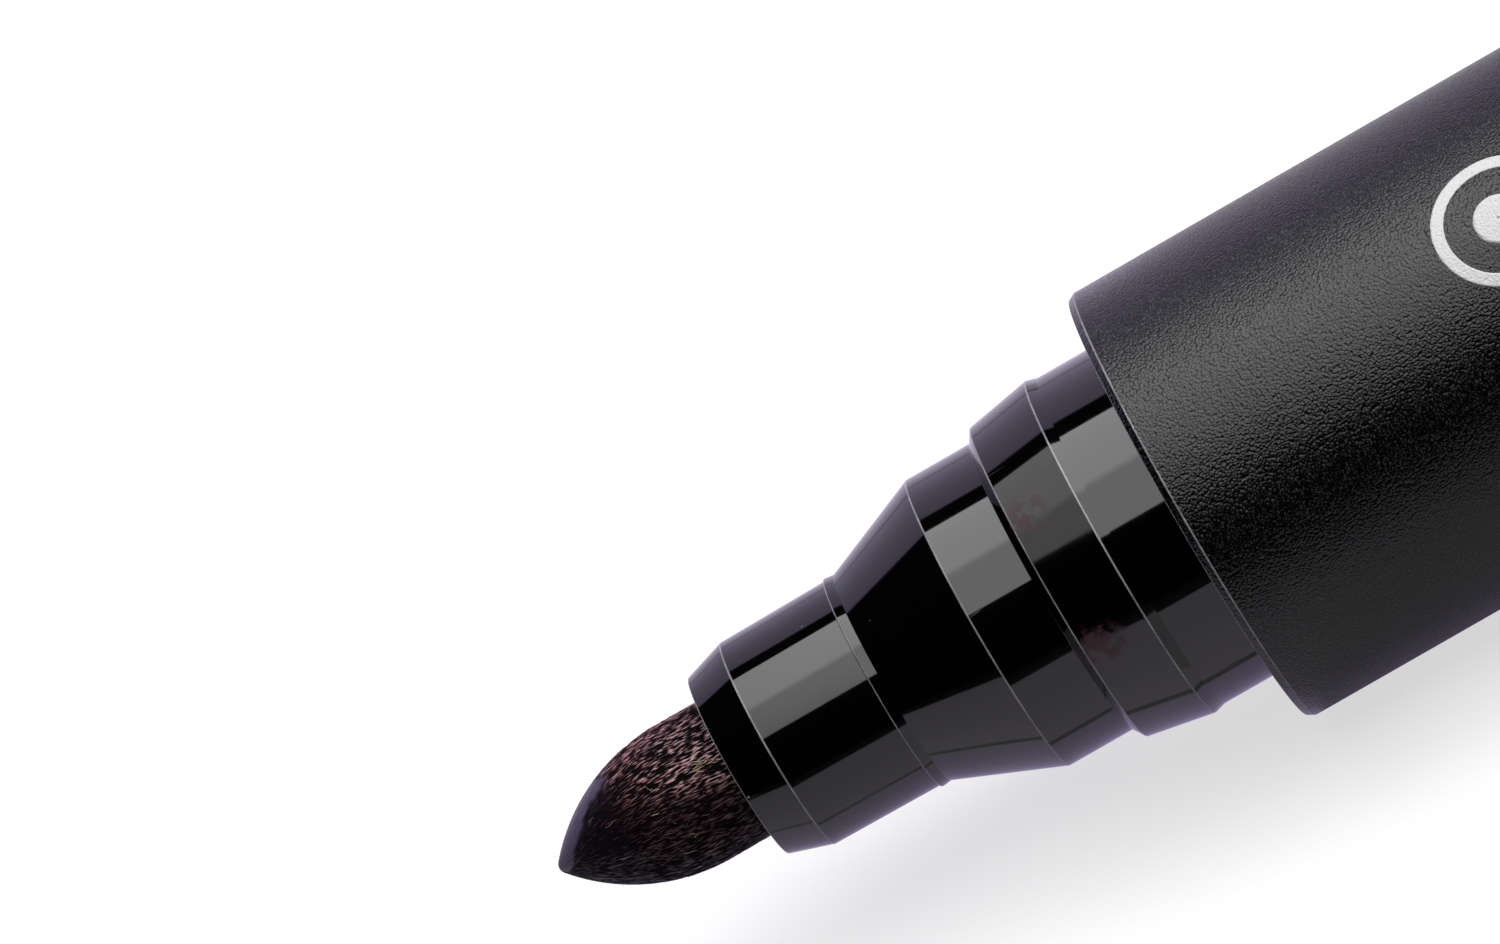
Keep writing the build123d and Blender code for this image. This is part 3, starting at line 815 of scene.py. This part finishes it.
def make_mark():
    """A ring, and a drop whose outline is a circle drawn out to a point on one side."""
    turn = np.linspace(0, 2 * np.pi, PRINT_POINTS, endpoint=False)
    circle = np.column_stack([np.cos(turn), np.sin(turn)])
    ring = print_shape("printed_ring", circle * RING_INSIDE, circle * RING_OUTSIDE)
    pull = np.clip(np.cos(turn), 0, 1) ** 4
    drop = circle * DROP_RADIUS
    drop[:, 1] *= 1 - DROP_NARROWS * pull
    drop[:, 0] += (DROP_TIP - DROP_RADIUS) * pull
    body = print_shape("printed_drop", drop * DROP_MIDDLE, drop)
    for piece in (ring, body):
        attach(piece, "pen")
    return [ring, body]


mark = make_mark()
print("mark from", round(MARK_BEHIND_MOUTH - RING_OUTSIDE, 2), "mm behind the barrel's mouth")

# %% [markdown]
# ## Finishes shared by several pieces
# Two effects come up again and again, so each is a node group with its sizes as inputs.
# The first is the fine grain that spark erosion leaves in a mould, and so on a matt
# moulding.  The second is what handling leaves on any plastic: smudges, hairline
# scratches and a few specks of dust.  Both read the piece's own Object coordinates.

# %% Group for the spark grain
GRAIN_NOISE = 0.6                    # how much the finer noise adds to the domes
TOPS_FROM, TOPS_TO = 1.12, 1.27      # heights


def new_group(name, inputs, outputs):
    """A shader node group with number sockets; returns it with its input and output node."""
    group = bpy.data.node_groups.new(name, "ShaderNodeTree")
    for socket, value in inputs.items():
        made = group.interface.new_socket(socket, in_out="INPUT", socket_type="NodeSocketFloat")
        made.default_value = value
    for socket in outputs:
        group.interface.new_socket(socket, in_out="OUTPUT", socket_type="NodeSocketFloat")
    return group, group.nodes.new("NodeGroupInput"), group.nodes.new("NodeGroupOutput")


def per_metre(group, size):
    """A texture scale from a size in millimetres: 1000 / size."""
    return use_math(group, "DIVIDE", 1000.0, size)


def cell_texture(tree, place, scale):
    """Voronoi cells; the outputs give the distance to a cell's middle, and its own colour."""
    return add_node(tree, "ShaderNodeTexVoronoi", {"Vector": place, "Scale": scale, "Randomness": 1.0})


def soft_noise(tree, place, **values):
    """A noise from 0 to 1 at the given place, with its other inputs set by their names."""
    return add_node(tree, "ShaderNodeTexNoise", {"Vector": place, **values}).outputs["Fac"]


def spark_grain_group():
    """Height of the grain, a bed of small domes broken up by a finer noise, and its tops.

    A dome stands on each Voronoi cell: its height is 1 - 1.5 * (distance / size)^2.
    The tops are where the height passes a threshold, so they are small round spots.
    """
    group, given, result = new_group("spark grain", {"Size": 0.15}, ["Height", "Tops"])
    scale = per_metre(group, given.outputs["Size"])
    place = object_place(group)
    distance = cell_texture(group, place, scale).outputs["Distance"]
    dome = use_math(group, "MULTIPLY_ADD", use_math(group, "POWER", distance, 2.0), -1.5, 1.0)
    rough = soft_noise(group, place, Scale=scale, Detail=2.0, Roughness=0.6)
    height = use_math(group, "ADD", dome, use_math(group, "MULTIPLY", rough, GRAIN_NOISE))
    connect(group, result, Height=height, Tops=map_range(group, height, TOPS_FROM, TOPS_TO))
    return group


spark_grain = spark_grain_group()
print("group", spark_grain.name)

# %% Group for the marks of handling
def handling_group():
    """Smudge, rub, scratch and dust, each 0 to 1.

    Smudges are a soft noise, and rub is a finer one.  A scratch is where a stretched
    noise passes through its middle value, so it is thin, and a second noise breaks it
    up.  Dust is the middle of small Voronoi cells, kept only where the cell's own random
    value is low.
    """
    sizes = {"Smudge Size": 6.0, "Scratch Spacing": 2.0, "Dust Spacing": 1.2, "Dust Share": 0.03}
    group, given, result = new_group("handling", sizes, ["Smudge", "Rub", "Scratch", "Dust"])
    place = object_place(group)

    scale = per_metre(group, given.outputs["Smudge Size"])
    smudge = soft_noise(group, place, Scale=scale, Detail=4.0, Roughness=0.6, Distortion=0.6)
    rub = soft_noise(group, place, Scale=900.0, Detail=3.0, Roughness=0.6)

    turned = {"Vector": place, "Rotation": (0.5, 0.3, 0.7), "Scale": (0.12, 1.0, 1.0)}
    slant = add_node(group, "ShaderNodeMapping", turned).outputs["Vector"]
    lines = soft_noise(group, slant, Scale=per_metre(group, given.outputs["Scratch Spacing"]), Detail=0.0)
    off_middle = use_math(group, "ABSOLUTE", use_math(group, "SUBTRACT", lines, 0.5))
    thin = map_range(group, off_middle, 0.004, 0.0)
    breaks = map_range(group, soft_noise(group, place, Scale=350.0, Detail=1.0), 0.54, 0.62)

    cells = cell_texture(group, place, per_metre(group, given.outputs["Dust Spacing"]))
    speck = map_range(group, cells.outputs["Distance"], 0.055, 0.02)
    chance = add_node(group, "ShaderNodeSeparateColor", {"Color": cells.outputs["Color"]})
    pick = use_math(group, "LESS_THAN", chance.outputs["Red"], given.outputs["Dust Share"])
    connect(
        group, result,
        Smudge=map_range(group, smudge, 0.32, 0.68), Rub=map_range(group, rub, 0.36, 0.60),
        Scratch=use_math(group, "MULTIPLY", thin, breaks), Dust=use_math(group, "MULTIPLY", speck, pick),
    )
    return group


handling = handling_group()
print("group", handling.name)

# %% [markdown]
# ## Plastic materials
# Both black plastics start from the same recipe: a nearly black base, a roughness that
# wanders with the smudges and rises in the scratches, and specks of dust in the colour.
# Edges that stick out are painted pale, partly as rubbing and partly as a painted edge
# highlight.  The matt one adds the spark grain as a bump, and the printing ink lies over
# that same grain; the tops of that grain are painted a little paler, partly as wear and
# partly as painted glints.  The glossy front section also bears two blotches of dried
# ink on its collar.

# %% Edges and dried ink
RUBBED_REACH = 0.05                  # millimetres from an edge
SOFTENED_LITTLE, SOFTENED_MUCH = 0.995, 0.93
BLOTCH_SIZE = 0.5                    # millimetres


def use_group(tree, group, **values):
    """Places a node group in a material, with its inputs set by their names."""
    return add_node(tree, "ShaderNodeGroup", values, node_tree=group)


def read_number(tree, name):
    """The output of a node that reads a number stored on the mesh."""
    return add_node(tree, "ShaderNodeAttribute", attribute_name=name).outputs["Fac"]


def found_edges(tree):
    """1 near an edge of any mesh: there the softened normal turns away from the true one."""
    soft = add_node(tree, "ShaderNodeBevel", {"Radius": RUBBED_REACH * MM}, samples=8)
    true = add_node(tree, "ShaderNodeNewGeometry")
    normals = {0: soft.outputs["Normal"], 1: true.outputs["Normal"]}
    agreement = add_node(tree, "ShaderNodeVectorMath", normals, operation="DOT_PRODUCT")
    return map_range(tree, agreement.outputs["Value"], SOFTENED_LITTLE, SOFTENED_MUCH)


def dried_ink(tree, spots):
    """1 in blotches of dried ink: where a noise is high, and only near a spot's centre.

    Each spot is (x, height, reach), with x and reach in millimetres and height in degrees.
    """
    place = object_place(tree)
    nearness = []
    for x, height, reach in spots:
        turn = math.radians(180 - height)
        centre = Vector((x, collar_radius * math.cos(turn), collar_radius * math.sin(turn))) * MM
        away = add_node(tree, "ShaderNodeVectorMath", {0: place, 1: centre}, operation="DISTANCE")
        near = map_range(tree, away.outputs["Value"], reach * MM, 0.4 * reach * MM)
        nearness.append((near, 1.0))
    noise = soft_noise(tree, place, Scale=1 / (BLOTCH_SIZE * MM), Detail=4.0, Roughness=0.65)
    blotch = map_range(tree, noise, 0.44, 0.56)
    return use_math(tree, "MULTIPLY", blotch, weighted_sum(tree, *nearness))


# %% Plastic recipe
# The pale grey of edges is partly rubbing and partly a painted edge highlight.
DUST_GREY, RUBBED_AND_HIGHLIGHT_GREY = (0.32, 0.31, 0.30), (0.34, 0.335, 0.345)
RUBBED_LEAST = 0.55                  # share of the rubbing that reaches all of an edge
RUBBED_ROUGH = 0.3
# The grain's pale tops are partly wear and partly painted glints.
TOPS_SHARE = 0.12                    # how much paler the tops of the grain are than an edge is
SMUDGE_DEPTH = 0.002                 # millimetres
INK_COLOUR, INK_COVERS, INK_ROUGH = (0.026, 0.003, 0.009), 0.85, 0.50


def plastic(
    name, colour, gloss, grain=None, smudge=0.0, scratch=0.0, dust=0.0, wear=0.0, stored_edges=True,
    ink_spots=(), **values
):
    """Moulded plastic; gloss is its roughness, and grain is (size, depth) in millimetres.

    Edges that bulge out are made a little rough as wear, and pale, partly as rubbing and
    partly as a painted edge highlight, both by one amount.  A turned piece stores its
    edges on its points, and on a fixed piece they are found.
    """
    material, tree, shader = new_material(name, **values)
    marks = use_group(tree, handling).outputs
    edge = read_number(tree, "edge") if stored_edges else found_edges(tree)
    patchy = map_range(tree, marks["Rub"], 0.0, 1.0, RUBBED_LEAST, 1.0)
    # Pale edges: partly rubbing, partly a painted edge highlight.
    rubbed_and_highlit = use_math(tree, "MULTIPLY", edge, patchy)
    rough = weighted_sum(
        tree, (marks["Smudge"], smudge), (marks["Scratch"], scratch), (rubbed_and_highlit, RUBBED_ROUGH * wear),
    )
    coloured = mix_colour(tree, weighted_sum(tree, (marks["Dust"], dust)), colour, DUST_GREY)
    if ink_spots:
        ink = dried_ink(tree, ink_spots)
        rough = weighted_sum(tree, (rough, 1.0), (ink, INK_ROUGH))
        coloured = mix_colour(tree, weighted_sum(tree, (ink, INK_COVERS)), coloured, INK_COLOUR)
    if grain:
        size, depth = grain
        surface = use_group(tree, spark_grain, Size=size).outputs
        height = weighted_sum(tree, (surface["Height"], 1.0), (marks["Scratch"], -0.3))
        # Pale edges and grain tops: partly wear, partly painted edge highlights and glints.
        pale = weighted_sum(tree, (rubbed_and_highlit, wear), (surface["Tops"], TOPS_SHARE * wear))
    else:
        depth = SMUDGE_DEPTH
        height = weighted_sum(tree, (marks["Smudge"], 0.4), (marks["Scratch"], -0.6))
        pale = weighted_sum(tree, (rubbed_and_highlit, wear))
    bump = add_node(tree, "ShaderNodeBump", {"Strength": 1.0, "Distance": depth * MM, "Height": height})
    connect(
        tree, shader, Base_Color=mix_colour(tree, pale, coloured, RUBBED_AND_HIGHLIGHT_GREY),
        Roughness=use_math(tree, "ADD", rough, gloss), Normal=bump.outputs["Normal"],
    )
    return material


# %% Make the plastics
BARREL_GRAIN = (0.108, 0.0145)
BLACK = (0.0006, 0.0006, 0.0007)
GLOSS_BLACK = dict(colour=BLACK, gloss=0.035, smudge=0.035, scratch=0.12, dust=0.6, wear=0.6, IOR=1.5)
MATT_BLACK = dict(
    colour=BLACK, gloss=0.17, grain=BARREL_GRAIN, smudge=0.05, scratch=0.10, dust=0.3, wear=0.6,
    IOR=1.5, Specular_IOR_Level=0.34,
)
COLLAR_INK = [(collar_x + 0.70, 63, 1.10), (collar_x + 0.65, 14, 1.30)]
gloss_black = plastic("glossy black polypropylene", ink_spots=COLLAR_INK, **GLOSS_BLACK)
matt_black = plastic("spark-grained black polypropylene", **MATT_BLACK)
cap_black = plastic("glossy black cap", stored_edges=False, **GLOSS_BLACK)
plug_black = plastic("spark-grained black plug", stored_edges=False, **MATT_BLACK)
natural_plastic = plastic(
    "natural polyethylene", (0.70, 0.69, 0.65), 0.38, smudge=0.08, scratch=0.1, IOR=1.5,
)
print_ink = plastic(
    "white pad-printing ink", (0.47, 0.47, 0.47), 0.50, grain=BARREL_GRAIN, smudge=0.05, scratch=0.1,
    IOR=1.5,
)
print("plastics", gloss_black.name, matt_black.name, natural_plastic.name, print_ink.name)

# %% [markdown]
# ## Inked fibre
# Dry ink is dark, and fibres of polyester shine along their crests.  The colour follows
# the height of the fibres that is stored on the nib's points: nearly black in the gaps,
# wine brown on the crests.  Where the nib is ground, a colour of its own takes over.  The
# underside is painted darker, a painted shade, and the worn patch is painted violet, a
# painted sheen.  A film of dry ink shines over the crests and on the worn patch.

# %% Make the inked fibre
FIBRE_COLOURS = [
    (0.45, (0.0004, 0.0001, 0.0002)), (0.64, (0.0280, 0.0060, 0.0100)), (0.86, (0.240, 0.100, 0.112)),
]
# The underside's colour is painted shade, and the worn patch's violet is a painted sheen.
SIDE_COLOURS = {
    "underside_shade": (0.88, (0.0020, 0.0001, 0.0006)),
    "ground": (0.94, (0.0012, 0.0004, 0.0018)),
    "worn_and_sheen": (0.90, (0.0180, 0.0085, 0.0300)),
}
LOOSE_COLOURS = [(0.55, (0.060, 0.022, 0.026)), (0.92, (0.46, 0.36, 0.21))]


def inked_fibre():
    """Colour by the height between the fibres and by side; the stored sheen is a coat over it."""
    material, tree, shader = new_material(
        "inked polyester fibre", IOR=1.5, Specular_IOR_Level=0.06, Coat_Roughness=0.27, Coat_IOR=1.75,
    )
    height = read_number(tree, "fibre")
    colour = colour_ramp(tree, height, FIBRE_COLOURS)
    for name, (share, inked) in SIDE_COLOURS.items():
        colour = mix_colour(tree, weighted_sum(tree, (read_number(tree, name), share)), colour, inked)
    rough = map_range(tree, height, 0.35, 1.0, 0.85, 0.34)
    connect(tree, shader, Base_Color=colour, Roughness=rough, Coat_Weight=read_number(tree, "sheen"))
    return material


def loose_fibre():
    """Fibres that took less ink: a wine brown that turns to straw on some of them."""
    material, tree, shader = new_material("thinly inked fibre", Roughness=0.4, IOR=1.5)
    connect(tree, shader, Base_Color=colour_ramp(tree, read_number(tree, "bare"), LOOSE_COLOURS))
    return material


nib_material = inked_fibre()
loose_material = loose_fibre()
print("materials", nib_material.name, loose_material.name)

# %% [markdown]
# ## Hidden pieces
# The ink reservoir is a bundle of soaked fibre in a clear film, and a thin tube lets air
# in past it.  They are out of sight inside the barrel, but the model keeps them.

# %% Make the hidden pieces' materials
ink_filler, _, _ = new_material("ink-soaked filler", Base_Color=(0.006, 0.005, 0.007, 1), Roughness=0.7)
clear_film, _, _ = new_material(
    "clear film", Base_Color=(0.9, 0.9, 0.9, 1), Roughness=0.12, IOR=1.5, Transmission_Weight=1.0,
)
print("materials", ink_filler.name, clear_film.name)

# %% Give every piece its material
FIXED_PIECES = {
    "end_plug": plug_black, "cap_shell": cap_black, "cap_clip": cap_black,
    "cap_liner": natural_plastic, "vent_tube": natural_plastic,
    "reservoir_core": ink_filler, "reservoir_film": clear_film,
}
finishes = [(barrel, matt_black), (front_section, gloss_black), (nib, nib_material)]
finishes += [(loose_fibres, loose_material), *((piece, print_ink) for piece in mark)]
finishes += [(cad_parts[node], material) for node, material in FIXED_PIECES.items()]
for piece, material in finishes:
    piece.data.materials.clear()
    piece.data.materials.append(material)
print("painted", len(finishes), "pieces")
